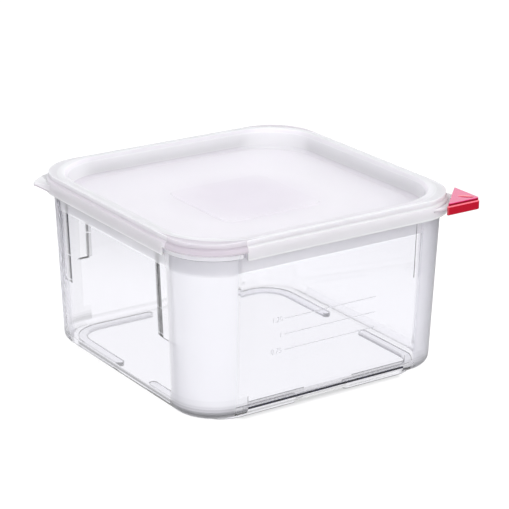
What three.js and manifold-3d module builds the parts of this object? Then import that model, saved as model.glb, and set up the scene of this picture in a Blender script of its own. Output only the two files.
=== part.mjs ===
// Square food storage container: a clear moulded box on four corner feet, a translucent
// press-on lid with a stacking recess, and a coloured corner clip that slides onto a lid tab.
// Millimetres, +Z up. The origin is under the middle of the box, on the plane the feet stand on.

import * as THREE from 'three';
import { mergeVertices } from 'three/addons/utils/BufferGeometryUtils.js';
import Module from 'manifold-3d';

const wasm = await Module();
wasm.setup();

// Box
const boxHeight = 98; // feet to the top of the rim flange
const baseWidth = 165; // across the walls where they meet the base
const wallFlare = 3.8; // each wall leans out this far from the base to the rim flange
const cornerRadius = 27.5; // of the walls under the rim flange
const baseCornerRadius = 24.5; // of the walls at the base
const baseEdgeRadius = 5;
const wallThickness = 3.2;
const floorThickness = 2.4;
const innerEdgeRadius = 4;
const flangeReach = 1.7; // rim flange past the wall
const flangeThickness = 3.2;
const flangeFillet = 1.2;

// Corner reliefs inside the box: the wall is thinner here above a nesting shelf
const reliefDepth = 1.6;
const reliefShelfHeight = 43;
const reliefReachX = 30.8; // from the outside of the mouth, along X
const reliefReachY = 36.8;

// Feet under the box
const footHeight = 2.6;
const footWidth = 5;
const footInsetX = 9.5; // outer faces of the feet, in from the base of the walls
const footInsetY = 6;
const footCornerRadius = 20;
const footGap = 32; // between neighbouring feet

// Lid
const seatClearance = 0.3; // lid underside over the rim flange
const plugClearance = 0.4; // lid plug inside the mouth
const skirtClearance = 0.3; // lid skirt outside the rim flange
const lidRise = 7; // top of the lid over the rim flange
const lidWall = 1.6;
const lidPanel = 1.8;
const lidShoulderDrop = 0.4; // the crest falls this much on its way out to the corners
const crestSetback = 0.5;
const crestCornerRadius = 39;
const crestWidth = 4.8;
const recessDepth = 11.5;
const recessLead = 2; // height of the slope that leads into the recess
const recessSlope = 1.6; // how far that slope leads in
const recessDraft = 0.6;
const recessEdgeRadius = 2;
const plugDepth = 11.5; // plug below the lid's seat
const plugDraft = 0.4;
const skirtDrop = 2.9; // skirt below the top of the rim flange
const skirtStep = 3.8; // top of the skirt over the rim flange
const skirtFlare = 0.3;
const skirtCutReach = 31; // the skirt is cut away this far round the corners without tabs
const padWidth = 64;
const padRaise = 0.5;
const padCornerRadius = 7;

// Lid tabs on two opposite corners, and the clip on one of them
const tabReach = 3; // past the rim flange
const tabCornerRadius = 13;
const tabThickness = 2;
const tabUnderside = 0.2; // under the top of the rim flange
const tabDroop = 0.45; // how steeply the bare tab hangs down past the skirt
const clipWall = 2.8; // plastic round the edge of the tab
const clipSetback = 1; // from the skirt's corner to the long side of the clip
const clipTipRadius = 2.4;
const clipCornerRadius = 0.8;
const clipClearance = 0.3;
const clipSole = 1.2; // plastic under the tab
const clipRoof = 2.9; // plastic over the tab
const clipBevel = 0.7;
const clipStep = 1.4; // height of the stepped-in top plate
const clipStepInset = 0.6;
const ribLength = 9; // thumb rib on the clip, along the corner's diagonal
const ribWidth = 3.2;
const ribHeight = 0.5;

// Facets
const cornerSteps = 10;
const filletSteps = 4;
const leastRadius = 0.3; // rounding left where an inset eats up a corner's radius
const weldDistance = 1e-4;

const overlap = 1; // how far a cutting or joined solid runs past its face

// Levels and half widths that follow from the sizes above
const floorTop = footHeight + floorThickness;
const flangeUnderside = boxHeight - flangeThickness;
const lidSeat = boxHeight + seatClearance;
const lidTop = boxHeight + lidRise;
const panelTop = lidTop - recessDepth;
const panelUnderside = panelTop - lidPanel;
const plugBottom = lidSeat - plugDepth;
const tabBottom = boxHeight - tabUnderside;
const tabTop = tabBottom + tabThickness;
const wallHeight = flangeUnderside - footHeight;
const draft = wallFlare / wallHeight;
const mouthHalf = baseWidth / 2 + wallFlare;
const flangeHalf = mouthHalf + flangeReach;
const shoulderHalf = flangeHalf + crestSetback;
const shoulderRadius = cornerRadius + crestSetback;
const skirtInner = flangeHalf + skirtClearance;
const skirtHalf = skirtInner + lidWall;
const skirtRadius = shoulderRadius + skirtHalf - shoulderHalf;
const tabHalf = flangeHalf + tabReach;
const clipHalf = tabHalf + clipClearance + clipWall;
const skirtCorner = (skirtHalf - skirtRadius) * Math.SQRT2 + skirtRadius;
const clipLongSide = skirtCorner + clipSetback; // from the box's axis

function wallHalf(height) {
  return baseWidth / 2 + draft * (height - footHeight);
}

function wallRadius(height) {
  return baseCornerRadius + (cornerRadius - baseCornerRadius) * (height - footHeight) / wallHeight;
}

// Rounded square (or rectangle) as a ring of points at one height
function ring(halfX, halfY, radius, height) {
  const points = [];
  const r = Math.max(Math.min(radius, halfX, halfY), leastRadius);
  for (let corner = 0; corner < 4; corner++) {
    const signX = corner === 0 || corner === 3 ? 1 : -1;
    const signY = corner < 2 ? 1 : -1;
    for (let step = 0; step <= cornerSteps; step++) {
      const angle = (corner + step / cornerSteps) * Math.PI / 2;
      const x = signX * (halfX - r) + r * Math.cos(angle);
      const y = signY * (halfY - r) + r * Math.sin(angle);
      points.push(new THREE.Vector3(x, y, height));
    }
  }
  return points;
}

function squareRing(half, radius, height) {
  return ring(half, half, radius, height);
}

// Closed loft through rings of equal point counts, from the lowest ring to the highest
function loft(rings) {
  const count = rings[0].length;
  const positions = rings.flat().flatMap((point) => point.toArray());
  const triangles = [];
  for (let level = 0; level + 1 < rings.length; level++) {
    for (let i = 0; i < count; i++) {
      const a = level * count + i;
      const b = level * count + (i + 1) % count;
      triangles.push(a, b, b + count, a, b + count, a + count);
    }
  }
  const top = (rings.length - 1) * count;
  for (let i = 1; i + 1 < count; i++) {
    triangles.push(0, i + 1, i);
    triangles.push(top, top + i, top + i + 1);
  }
  const geometry = new THREE.BufferGeometry();
  geometry.setAttribute('position', new THREE.Float32BufferAttribute(positions, 3));
  geometry.setIndex(triangles);
  return solid(geometry);
}

function prism(half, radius, low, high) {
  return loft([squareRing(half, radius, low), squareRing(half, radius, high)]);
}

function block(minX, maxX, minY, maxY, minZ, maxZ) {
  const box = new THREE.BoxGeometry(maxX - minX, maxY - minY, maxZ - minZ);
  box.translate((minX + maxX) / 2, (minY + maxY) / 2, (minZ + maxZ) / 2);
  return solid(box);
}

function plate(outline, low, high) {
  const shape = new THREE.Shape(outline);
  const sheet = new THREE.ExtrudeGeometry(shape, { depth: high - low, bevelEnabled: false });
  sheet.translate(0, 0, low);
  return solid(sheet);
}

function solid(geometry) {
  geometry.deleteAttribute('normal');
  geometry.deleteAttribute('uv');
  const merged = mergeVertices(geometry, weldDistance);
  const vertProperties = new Float32Array(merged.attributes.position.array);
  const triVerts = new Uint32Array(merged.index.array);
  return new wasm.Manifold(new wasm.Mesh({ numProp: 3, vertProperties, triVerts }));
}

function geometryOf(body) {
  const mesh = body.getMesh();
  const geometry = new THREE.BufferGeometry();
  geometry.setAttribute('position', new THREE.BufferAttribute(new Float32Array(mesh.vertProperties), 3));
  geometry.setIndex(new THREE.BufferAttribute(new Uint32Array(mesh.triVerts), 1));
  geometry.computeVertexNormals();
  return geometry;
}

// Rings that round the lower edge of a drafted box from its floor up into its wall
function roundedBase(inset, radius, low) {
  const rings = [];
  for (let step = 0; step <= filletSteps; step++) {
    const angle = (step / filletSteps) * Math.PI / 2;
    const height = low + radius * (1 - Math.cos(angle));
    const setback = radius * (1 - Math.sin(angle));
    const half = wallHalf(height) - inset - setback;
    rings.push(squareRing(half, wallRadius(height) - inset - setback, height));
  }
  return rings;
}

// The four corners of the plan as sign pairs
const corners = [[1, 1], [-1, 1], [-1, -1], [1, -1]];

function cornerBlock(signX, signY, startX, startY, reach, low, high) {
  const x = [signX * startX, signX * reach].sort((a, b) => a - b);
  const y = [signY * startY, signY * reach].sort((a, b) => a - b);
  return block(x[0], x[1], y[0], y[1], low, high);
}

// One L-shaped foot with round ends, for the corner given by two signs
function foot(signX, signY) {
  const outerX = baseWidth / 2 - footInsetX;
  const outerY = baseWidth / 2 - footInsetY;
  const start = footGap / 2;
  const endRadius = footWidth / 2;
  const innerRadius = footCornerRadius - footWidth;
  const path = new THREE.Path();
  path.moveTo(start + endRadius, outerY);
  path.lineTo(outerX - footCornerRadius, outerY);
  path.absarc(outerX - footCornerRadius, outerY - footCornerRadius, footCornerRadius, Math.PI / 2, 0, true);
  path.lineTo(outerX, start + endRadius);
  path.absarc(outerX - endRadius, start + endRadius, endRadius, 0, Math.PI, true);
  path.lineTo(outerX - footWidth, outerY - footCornerRadius);
  path.absarc(outerX - footCornerRadius, outerY - footCornerRadius, innerRadius, 0, Math.PI / 2, false);
  path.lineTo(start + endRadius, outerY - footWidth);
  path.absarc(start + endRadius, outerY - endRadius, endRadius, -Math.PI / 2, Math.PI / 2, true);
  const outline = path.getPoints(cornerSteps / 2);
  const placed = outline.map((point) => new THREE.Vector2(signX * point.x, signY * point.y));
  return plate(placed, 0, footHeight + floorThickness / 2);
}

function makeContainer() {
  const flangeRadius = cornerRadius + flangeReach;
  const filletStart = flangeUnderside - flangeFillet;
  const outer = loft([
    ...roundedBase(0, baseEdgeRadius, footHeight),
    squareRing(wallHalf(filletStart), wallRadius(filletStart), filletStart),
    squareRing(mouthHalf + flangeFillet, cornerRadius + flangeFillet, flangeUnderside),
    squareRing(flangeHalf, flangeRadius, flangeUnderside),
    squareRing(flangeHalf, flangeRadius, boxHeight),
  ]);
  const rimTop = boxHeight + overlap;
  const hollow = loft([
    ...roundedBase(wallThickness, innerEdgeRadius, floorTop),
    squareRing(wallHalf(rimTop) - wallThickness, wallRadius(rimTop) - wallThickness, rimTop),
  ]);
  const reliefInset = wallThickness - reliefDepth;
  const relief = loft([reliefShelfHeight, rimTop].map((height) => (
    squareRing(wallHalf(height) - reliefInset, wallRadius(height) - reliefInset, height)
  )));
  let body = outer.subtract(hollow);
  const startX = mouthHalf - reliefReachX;
  const startY = mouthHalf - reliefReachY;
  for (const [signX, signY] of corners) {
    const zone = cornerBlock(signX, signY, startX, startY, flangeHalf, 0, rimTop);
    body = body.subtract(relief.intersect(zone));
    body = body.add(foot(signX, signY));
  }
  return body;
}

// Corner tab: the corner of a rounded square that stands out past the skirt
function tab(signX, signY) {
  const sheet = prism(tabHalf, tabCornerRadius, tabBottom, tabTop);
  const start = skirtHalf - skirtRadius;
  return sheet.intersect(cornerBlock(signX, signY, start, start, tabHalf + overlap, tabBottom, tabTop));
}

function droopingTab(signX, signY) {
  return tab(signX, signY).refine(filletSteps).warp((point) => {
    const reach = (signX * point[0] + signY * point[1]) / Math.SQRT2 - skirtCorner;
    point[2] -= tabDroop * Math.max(0, reach);
  });
}

function makeLid() {
  const shoulder = lidTop - lidShoulderDrop;
  const crestHalf = shoulderHalf - crestSetback;
  const cap = loft([
    squareRing(shoulderHalf, shoulderRadius, lidSeat),
    squareRing(shoulderHalf, shoulderRadius, shoulder),
    squareRing(crestHalf, crestCornerRadius, lidTop),
  ]);

  const plugHalf = mouthHalf - wallThickness - plugClearance;
  const plugRadius = cornerRadius - wallThickness;
  const plug = loft([
    squareRing(plugHalf - plugDraft, plugRadius, plugBottom),
    squareRing(plugHalf, plugRadius, lidSeat + overlap),
  ]);

  const skirtBottom = boxHeight - skirtDrop;
  const skirtTop = boxHeight + skirtStep;
  let skirt = loft([
    squareRing(skirtHalf, skirtRadius, skirtBottom),
    squareRing(skirtHalf - skirtFlare, skirtRadius, skirtTop - lidWall / 2),
    squareRing(shoulderHalf, shoulderRadius, skirtTop),
  ]);
  const skirtBore = prism(skirtInner, skirtRadius - lidWall, skirtBottom - overlap, lidSeat);
  skirt = skirt.add(tab(1, -1)).add(droopingTab(-1, 1)).subtract(skirtBore);
  const cutStart = flangeHalf - skirtCutReach;
  const cutEnd = skirtHalf + overlap;
  const cutLow = skirtBottom - overlap;
  for (const side of [1, -1]) {
    skirt = skirt.subtract(cornerBlock(side, side, cutStart, cutStart, cutEnd, cutLow, lidSeat));
  }

  const recessHalf = crestHalf - crestWidth;
  const recessRadius = crestCornerRadius - crestWidth;
  const wellHalf = recessHalf - recessSlope;
  const wellRadius = recessRadius - recessSlope;
  const footHalf = wellHalf - recessDraft;
  const recess = loft([
    squareRing(footHalf - recessEdgeRadius, wellRadius - recessEdgeRadius, panelTop),
    squareRing(footHalf, wellRadius, panelTop + recessEdgeRadius),
    squareRing(wellHalf, wellRadius, lidTop - recessLead),
    squareRing(recessHalf, recessRadius, lidTop),
    squareRing(recessHalf, recessRadius, lidTop + overlap),
  ]);

  // Cored out from below: under the panel, inside the plug's corners, and over the rim flange
  const coreHalf = plugHalf - plugDraft - lidWall;
  const coreRadius = plugRadius - lidWall;
  const coreTop = lidTop - lidWall - lidShoulderDrop / 2;
  const low = plugBottom - overlap;
  const underPanel = prism(coreHalf, coreRadius, low, panelUnderside);
  const tub = prism(wellHalf + lidWall, wellRadius + lidWall, low - overlap, lidTop);
  const plugCorners = prism(coreHalf, coreRadius, low, coreTop).subtract(tub);
  const channelHalf = shoulderHalf - lidWall;
  const channelWidth = channelHalf - plugHalf - lidWall;
  const channelRadius = shoulderRadius - lidWall;
  const channel = prism(channelHalf, channelRadius, lidSeat - overlap, coreTop)
    .subtract(prism(channelHalf - channelWidth, channelRadius - channelWidth, low, lidTop));

  const pad = prism(padWidth / 2, padCornerRadius, panelTop - lidPanel / 2, panelTop + padRaise);
  const shell = cap.add(plug).add(skirt).subtract(recess).subtract(underPanel);
  return shell.subtract(plugCorners).subtract(channel).add(pad);
}

// Rounded right-angled triangle in plan, its right angle at the outer corner of a square
function clipOutline(inset) {
  const far = clipHalf - inset;
  const near = (clipLongSide + inset) * Math.SQRT2 - far;
  const tip = Math.max(clipTipRadius - inset, leastRadius);
  const small = Math.max(clipCornerRadius - inset, leastRadius);
  const reach = small / Math.tan(Math.PI / 8);
  const path = new THREE.Path();
  path.moveTo(far, -near - reach);
  path.lineTo(far, -far + tip);
  path.absarc(far - tip, -far + tip, tip, 0, -Math.PI / 2, true);
  path.lineTo(near + reach, -far);
  path.absarc(near + reach, -far + small, small, -Math.PI / 2, -Math.PI * 5 / 4, true);
  path.absarc(far - small, -near - reach, small, Math.PI * 3 / 4, 0, true);
  return path.getPoints(cornerSteps / 2);
}

function makeClip() {
  const bottom = tabBottom - clipClearance - clipSole;
  const top = tabTop + clipClearance + clipRoof;
  const bevel = clipBevel / 2;
  let body = plate(clipOutline(clipBevel), bottom, bottom + clipBevel);
  body = body.add(plate(clipOutline(bevel), bottom + bevel, top - clipStep - bevel));
  body = body.add(plate(clipOutline(0), bottom + clipBevel, top - clipStep - clipBevel));
  body = body.add(plate(clipOutline(clipStepInset + bevel), top - clipStep - clipBevel, top));
  const pocketHalf = tabHalf + clipClearance;
  const pocketRadius = tabCornerRadius + clipClearance;
  const pocketLow = tabBottom - clipClearance;
  const pocketHigh = tabTop + clipClearance;
  const pocket = prism(pocketHalf, pocketRadius, pocketLow, pocketHigh);
  const rib = new THREE.SphereGeometry(1, cornerSteps * 2, cornerSteps);
  rib.scale(ribLength / 2, ribWidth / 2, ribHeight);
  rib.rotateZ(-Math.PI / 4);
  const ribPlace = (clipLongSide / Math.SQRT2 + clipHalf) / 2;
  rib.translate(ribPlace, -ribPlace, top);
  return body.subtract(pocket).add(solid(rib));
}

const product = new THREE.Group();

function addPart(name, body, look) {
  const mesh = new THREE.Mesh(geometryOf(body), new THREE.MeshStandardMaterial(look));
  mesh.name = name;
  product.add(mesh);
}

addPart('container', makeContainer(), {
  color: 0xe9e8f2, roughness: 0.12, metalness: 0, transparent: true, opacity: 0.35,
});
addPart('lid', makeLid(), {
  color: 0xece8f0, roughness: 0.38, metalness: 0, transparent: true, opacity: 0.85,
});
addPart('corner_clip', makeClip(), { color: 0xcf0a22, roughness: 0.3, metalness: 0 });

export default product;
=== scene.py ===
import math

import bmesh
import bpy
from mathutils import Matrix, Vector


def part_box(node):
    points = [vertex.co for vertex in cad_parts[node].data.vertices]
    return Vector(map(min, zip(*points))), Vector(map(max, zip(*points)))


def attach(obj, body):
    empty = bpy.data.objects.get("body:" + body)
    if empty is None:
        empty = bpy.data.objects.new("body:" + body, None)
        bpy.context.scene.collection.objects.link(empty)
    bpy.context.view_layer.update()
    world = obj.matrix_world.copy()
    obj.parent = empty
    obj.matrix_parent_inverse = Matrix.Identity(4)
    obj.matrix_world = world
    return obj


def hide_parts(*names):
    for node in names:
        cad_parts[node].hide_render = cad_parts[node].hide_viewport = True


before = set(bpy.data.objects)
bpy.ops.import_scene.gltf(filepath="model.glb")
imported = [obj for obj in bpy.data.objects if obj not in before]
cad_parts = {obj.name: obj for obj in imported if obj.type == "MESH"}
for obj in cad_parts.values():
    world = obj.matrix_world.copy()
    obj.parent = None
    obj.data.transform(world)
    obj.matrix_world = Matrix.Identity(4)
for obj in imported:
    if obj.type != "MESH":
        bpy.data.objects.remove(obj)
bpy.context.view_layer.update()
mm = 0.001
scene = bpy.context.scene

# outer sizes come from the frame, the dictionaries hold the rest in millimetres
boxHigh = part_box("container")[1]
lidLow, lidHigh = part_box("lid")
clipLow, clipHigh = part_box("corner_clip")
rimHalf = boxHigh.x
rimTop = boxHigh.z
tabHalf = lidHigh.y
clipHalf = clipHigh.x
print("frame loaded: box", tuple(round(v, 4) for v in boxHigh), "lid", tuple(round(v, 4) for v in lidHigh))


# helpers for rings and meshes

arcSteps = 20
stepShares = (1.0, 0.88, 0.5, 0.12, 0.0)  # how far a step has come at each of its stations
stepPlaces = (1.0, 0.5, 0.0, -0.5, -1.0)  # where these stations are, in half widths of the step


def ringStations():
    # (owner corner, share of its arc, share of the step, place in the step); "gap" is a side's middle part
    stations = []
    for corner in range(4):
        after = (corner + 1) % 4
        for step in range(arcSteps + 1):
            stations.append((corner, step / arcSteps, 1.0, None))
        for share, place in zip(stepShares, stepPlaces):
            stations.append((corner, None, share, place))
        stations.append((corner, None, 0.0, "gap"))
        stations.append((after, None, 0.0, "gap"))
        for share, place in zip(reversed(stepShares), reversed(stepPlaces)):
            stations.append((after, None, share, place))
    return stations


stations = ringStations()
sideLength = len(stations) // 4
cornerSigns = ((1, 1), (-1, 1), (-1, -1), (1, -1))
plainStep = 0.15 * mm
stepRoom = 1.05  # half widths that a step stays away from the round corner
gapHalf = 16.0 * mm
roundShare = 0.3  # how far in a small rounding still is halfway up
tiny = 0.01
smoothAngle = 32
flatWeight = 80


def ring(half, radius, height, stepAt=None, insetOf=None, liftOf=None):
    # one closed line of a rounded square; stepAt gives the middle and half width of each side's two steps
    points = []
    middle = half - radius
    for i, (owner, angleShare, share, place) in enumerate(stations):
        lift = liftOf(i) if liftOf else 0.0
        inset = insetOf(i) if insetOf else 0.0
        if angleShare is not None:
            signX, signY = cornerSigns[owner]
            angle = (owner + angleShare) * math.pi / 2
            reach = radius - inset
            points.append((signX * middle + reach * math.cos(angle),
                           signY * middle + reach * math.sin(angle), height + lift))
            continue
        side = i // sideLength
        if place == "gap":
            along = gapHalf
        else:
            mark, wide = stepAt(side, owner) if stepAt else (middle, plainStep)
            along = min(mark, middle - stepRoom * wide) + place * wide
        if owner != side:
            along = -along
        out = half - inset
        turn = (side + 1) * math.pi / 2
        # along runs against the turning direction of the ring
        x = out * math.cos(turn) + along * math.sin(turn)
        y = out * math.sin(turn) - along * math.cos(turn)
        points.append((x, y, height + lift))
    return points


def bandFaces(levels, count):
    # faces of a closed stack of rings, the first capped downwards and the last upwards
    faces = [tuple(reversed(range(count)))]
    for level in range(levels - 1):
        low = level * count
        for i in range(count):
            j = (i + 1) % count
            faces.append((low + i, low + j, low + count + j, low + count + i))
    top = (levels - 1) * count
    faces.append(tuple(range(top, top + count)))
    return faces


def loft(name, rings, materials=(), shadeOf=None):
    # closed body through rings; shadeOf gives each face's shade from its level and its place on the ring
    count = len(rings[0])
    verts = [point for line in rings for point in line]
    piece = makeObject(name, verts, bandFaces(len(rings), count), materials)
    if shadeOf:
        last = len(rings) - 1
        sides = [shadeOf(level, i) for level in range(last) for i in range(count)]
        addShade(piece, [0.0] + sides + [shadeOf(last, 0)])
    return piece


def makeObject(name, verts, faces, materials=()):
    mesh = bpy.data.meshes.new(name)
    mesh.from_pydata(verts, [], faces)
    for material in materials:
        mesh.materials.append(material)
    mesh.validate()
    piece = bpy.data.objects.new(name, mesh)
    scene.collection.objects.link(piece)
    return piece


def prism(name, outlines, materials=(), shadeOf=None, splitY=None):
    # closed body through outlines of (x, y) points at heights, lowest first; splitY parts its faces there
    count = len(outlines[0][0])
    verts = [(x, y, height) for outline, height in outlines for x, y in outline]
    piece = makeObject(name, verts, bandFaces(len(outlines), count), materials)
    faceOut(piece, splitY)
    if shadeOf:
        addShade(piece, [shadeOf(face) for face in piece.data.polygons])
    return piece


def addShade(piece, shades):
    # one value for each face, which the finish reads
    layer = piece.data.attributes.new("edgeShade", "FLOAT", "FACE")
    layer.data.foreach_set("value", shades)


def faceOut(piece, splitY=None):
    shape = bmesh.new()
    shape.from_mesh(piece.data)
    if splitY is not None:
        parts = [*shape.verts, *shape.edges, *shape.faces]
        bmesh.ops.bisect_plane(shape, geom=parts, plane_co=(0.0, splitY, 0.0), plane_no=(0.0, 1.0, 0.0))
    bmesh.ops.recalc_face_normals(shape, faces=shape.faces)
    shape.to_mesh(piece.data)
    shape.free()


def settle(piece):
    # turns the modifiers' result into the piece's own plain mesh
    bpy.context.view_layer.update()
    evaluated = piece.evaluated_get(bpy.context.evaluated_depsgraph_get())
    mesh = bpy.data.meshes.new_from_object(evaluated, preserve_all_data_layers=True,
                                           depsgraph=bpy.context.evaluated_depsgraph_get())
    piece.modifiers.clear()
    old = piece.data
    piece.data = mesh
    bpy.data.meshes.remove(old)


def combine(piece, tools, operation):
    for tool in tools:
        boolean = piece.modifiers.new(operation.lower(), "BOOLEAN")
        boolean.operation = operation
        boolean.solver = "EXACT"
        boolean.object = tool
    settle(piece)
    for tool in tools:
        bpy.data.objects.remove(tool)


def smooth(piece):
    for face in piece.data.polygons:
        face.use_smooth = True
    piece.data.set_sharp_from_angle(angle=math.radians(smoothAngle))
    weighted = piece.modifiers.new("flat faces stay flat", "WEIGHTED_NORMAL")
    weighted.keep_sharp = True
    weighted.weight = flatWeight
    settle(piece)


def quarter(steps):
    # (sine, cosine) along a quarter turn
    angles = [k / steps * math.pi / 2 for k in range(steps + 1)]
    return [(math.sin(angle), math.cos(angle)) for angle in angles]


def arcPoints(x, y, radius, start, stop, steps):
    # points of an arc round (x, y), between two angles in degrees
    angles = [math.radians(start + (stop - start) * k / steps) for k in range(steps + 1)]
    return [(x + radius * math.cos(angle), y + radius * math.sin(angle)) for angle in angles]


# the box

box = {
    "footHeight": 2.6, "wallFlare": 3.8, "flangeReach": 1.7, "cornerRadius": 27.5, "baseCorner": 24.5,
    "baseEdge": 5.0, "wall": 3.2, "floor": 2.4, "innerEdge": 4.0,
    "flangeThickness": 3.2, "flangeFillet": 1.2, "rimRound": 0.6,
    "shelfDrop": 0.5, "reliefFade": 0.15, "edgeSteps": 8, "roundSteps": 4,
    "lineEnd": 52.5, "lineEndHalf": 0.35,
}
# the thinner wall ends, by side and corner:
# the step's place, its half width at the rim and at the shelf, the shelf's height, the depth
reliefSteps = {
    (0, 1): (53.2, 0.9, 1.4, 45.0, 1.6), (1, 1): (55.2, 2.6, 2.8, 43.0, 0.3),
    (1, 2): (44.6, 2.3, 2.8, 43.0, 0.4), (2, 3): (57.2, 0.2, 0.25, 60.0, 0.3),
}
plainRelief = (50.0, 0.3, 0.3, 43.0, 0.0)
# painted shade on each quarter of a step, from the corner inwards, standing in for light the step turns
# away; below nothing it is a painted paleness
paintedStepShade = {
    (0, 1): (0.85, 0.95, 0.35, 0.5), (1, 1): (0.22, 0.35, 0.80, 1.0), (1, 2): (0.97, 0.82, 0.72, 0.80),
    (2, 3): (0.85, 0.85, 0.85, 0.85),
}
# painted shade on the rounded base edge, from the floor up, below nothing a painted paleness:
# the sides from the back on, then the front's middle and the round corners, which are weaker at the sides
paintedBaseEdgeShade = {
    0: (0.0, 0.0, 0.0, 0.0, 0.0, 0.1, 0.2, 0.2), 1: (0.80, 0.85, 0.85, 0.78, 0.60, 0.30, 0.08, 0.0),
    2: (0.2, -0.3, -0.55, -0.55, -0.55, -0.55, -0.55, 1.0), 3: (-0.15,) * 8,
    "middle": (0.1, -0.8, -0.8, -0.8, -0.8, -0.7, -0.6, 1.0),
    "arc": (0.0, -0.3, -0.35, -0.35, -0.3, 0.5, 0.78, 0.78), "sideArcs": 0.75,
}
# (height, painted shade below it) on the round corners, over the base edge
paintedLowWallShade = ((8.0, 0.66), (9.5, 0.48), (11.0, 0.28), (11.5, 0.17), (14.5, 0.12))
# at the same heights along the front: painted shade for the dark line and the grey band over it
frontLine = {"feet": (1.0, 0.45, 0.50, 0.85, 0.0), "middle": (1.0, 0.40, 0.35, 0.0, 0.0), "end": 0.6}
# painted shade on the corners at the sides: shares of the arc where it is clear and full, most shade
paintedSideCornerShade = {3: (0.13, 0.62, 0.72), 1: (1.0, 0.62, 0.16)}
paintedSideCornerShadeEnd = 0.25  # share of the arc over which it ends
# painted shade, below nothing painted paleness, on the wall in front of the lid's plug: left side, front,
# near corner; and the near corner's wall
paintedPlugShade = {1: -0.45, 2: -0.15, "near": 0.16, "nearWall": 0.06}
# painted shade, and on the face a painted paleness, on the flange's edges at the corners that the skirt
# leaves bare
paintedRimShade = {"under": 0.85, "face": -0.5, "top": 0.97}
# the feet's shade values are painted shade on their lines, and below nothing a painted paleness on their
# walls
feet = {
    "width": 5.0, "insetX": 9.5, "insetY": 6.0, "corner": 20.0, "gap": 32.0, "edge": 0.5, "steps": 8,
    "paintedUnderShade": 0.12, "paintedWallShade": 0.3, "paintedFarShade": -0.1, "paintedFrontWallShade": -0.7, "paintedFrontUnderShade": 0.65,
    "paintedFrontEdgeShade": 0.95, "facingDown": -0.7, "facingFront": -0.4,
}

mouthHalf = rimHalf - box["flangeReach"] * mm
baseHalf = mouthHalf - box["wallFlare"] * mm
cornerRadius = box["cornerRadius"] * mm
footHeight = box["footHeight"] * mm
flangeUnder = rimTop - box["flangeThickness"] * mm
floorTop = footHeight + box["floor"] * mm


def wallHalf(height):
    return baseHalf + box["wallFlare"] * mm * (height - footHeight) / (flangeUnder - footHeight)


def wallRadius(height):
    # the round corners open out a little towards the rim
    share = (height - footHeight) / (flangeUnder - footHeight)
    return (box["baseCorner"] + (box["cornerRadius"] - box["baseCorner"]) * share) * mm


def footOutline(signX, signY, inset):
    # L-shaped ridge with round ends, drawn for the (+, +) corner and mirrored by the signs
    outerX = baseHalf - feet["insetX"] * mm - inset
    outerY = baseHalf - feet["insetY"] * mm - inset
    width = feet["width"] * mm - 2 * inset
    corner = feet["corner"] * mm - inset
    endRadius = width / 2
    endAt = (feet["gap"] + feet["width"]) / 2 * mm
    arcs = ((outerX - corner, outerY - corner, corner, 90, 0),
            (outerX - endRadius, endAt, endRadius, 0, -180),
            (outerX - corner, outerY - corner, corner - width, 0, 90),
            (endAt, outerY - endRadius, endRadius, 270, 90))
    return [(signX * x, signY * y) for arc in arcs for x, y in arcPoints(*arc, feet["steps"])]


def makeFoot(signX, signY):
    edge = feet["edge"] * mm
    part = edge * roundShare
    levels = ((edge, 0.0), (part, part), (0.0, edge), (0.0, footHeight + box["floor"] * mm / 2))
    outlines = [(footOutline(signX, signY, inset), height) for inset, height in levels]
    frontPart = baseHalf - (feet["insetY"] + feet["width"] + feet["edge"]) * mm

    # painted shade on the feet and a painted paleness on the front feet's walls
    def shadeOf(face):
        front = face.center.y < -frontPart
        if signX + signY > 0:
            return feet["paintedFarShade"]
        if face.normal.z < feet["facingDown"]:
            return feet["paintedFrontUnderShade" if front else "paintedUnderShade"]
        if front and face.normal.y < feet["facingFront"]:
            return feet["paintedFrontEdgeShade" if face.center.z < edge else "paintedFrontWallShade"]
        return feet["paintedWallShade"]

    return prism("foot", outlines, (), shadeOf, -frontPart)


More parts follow.
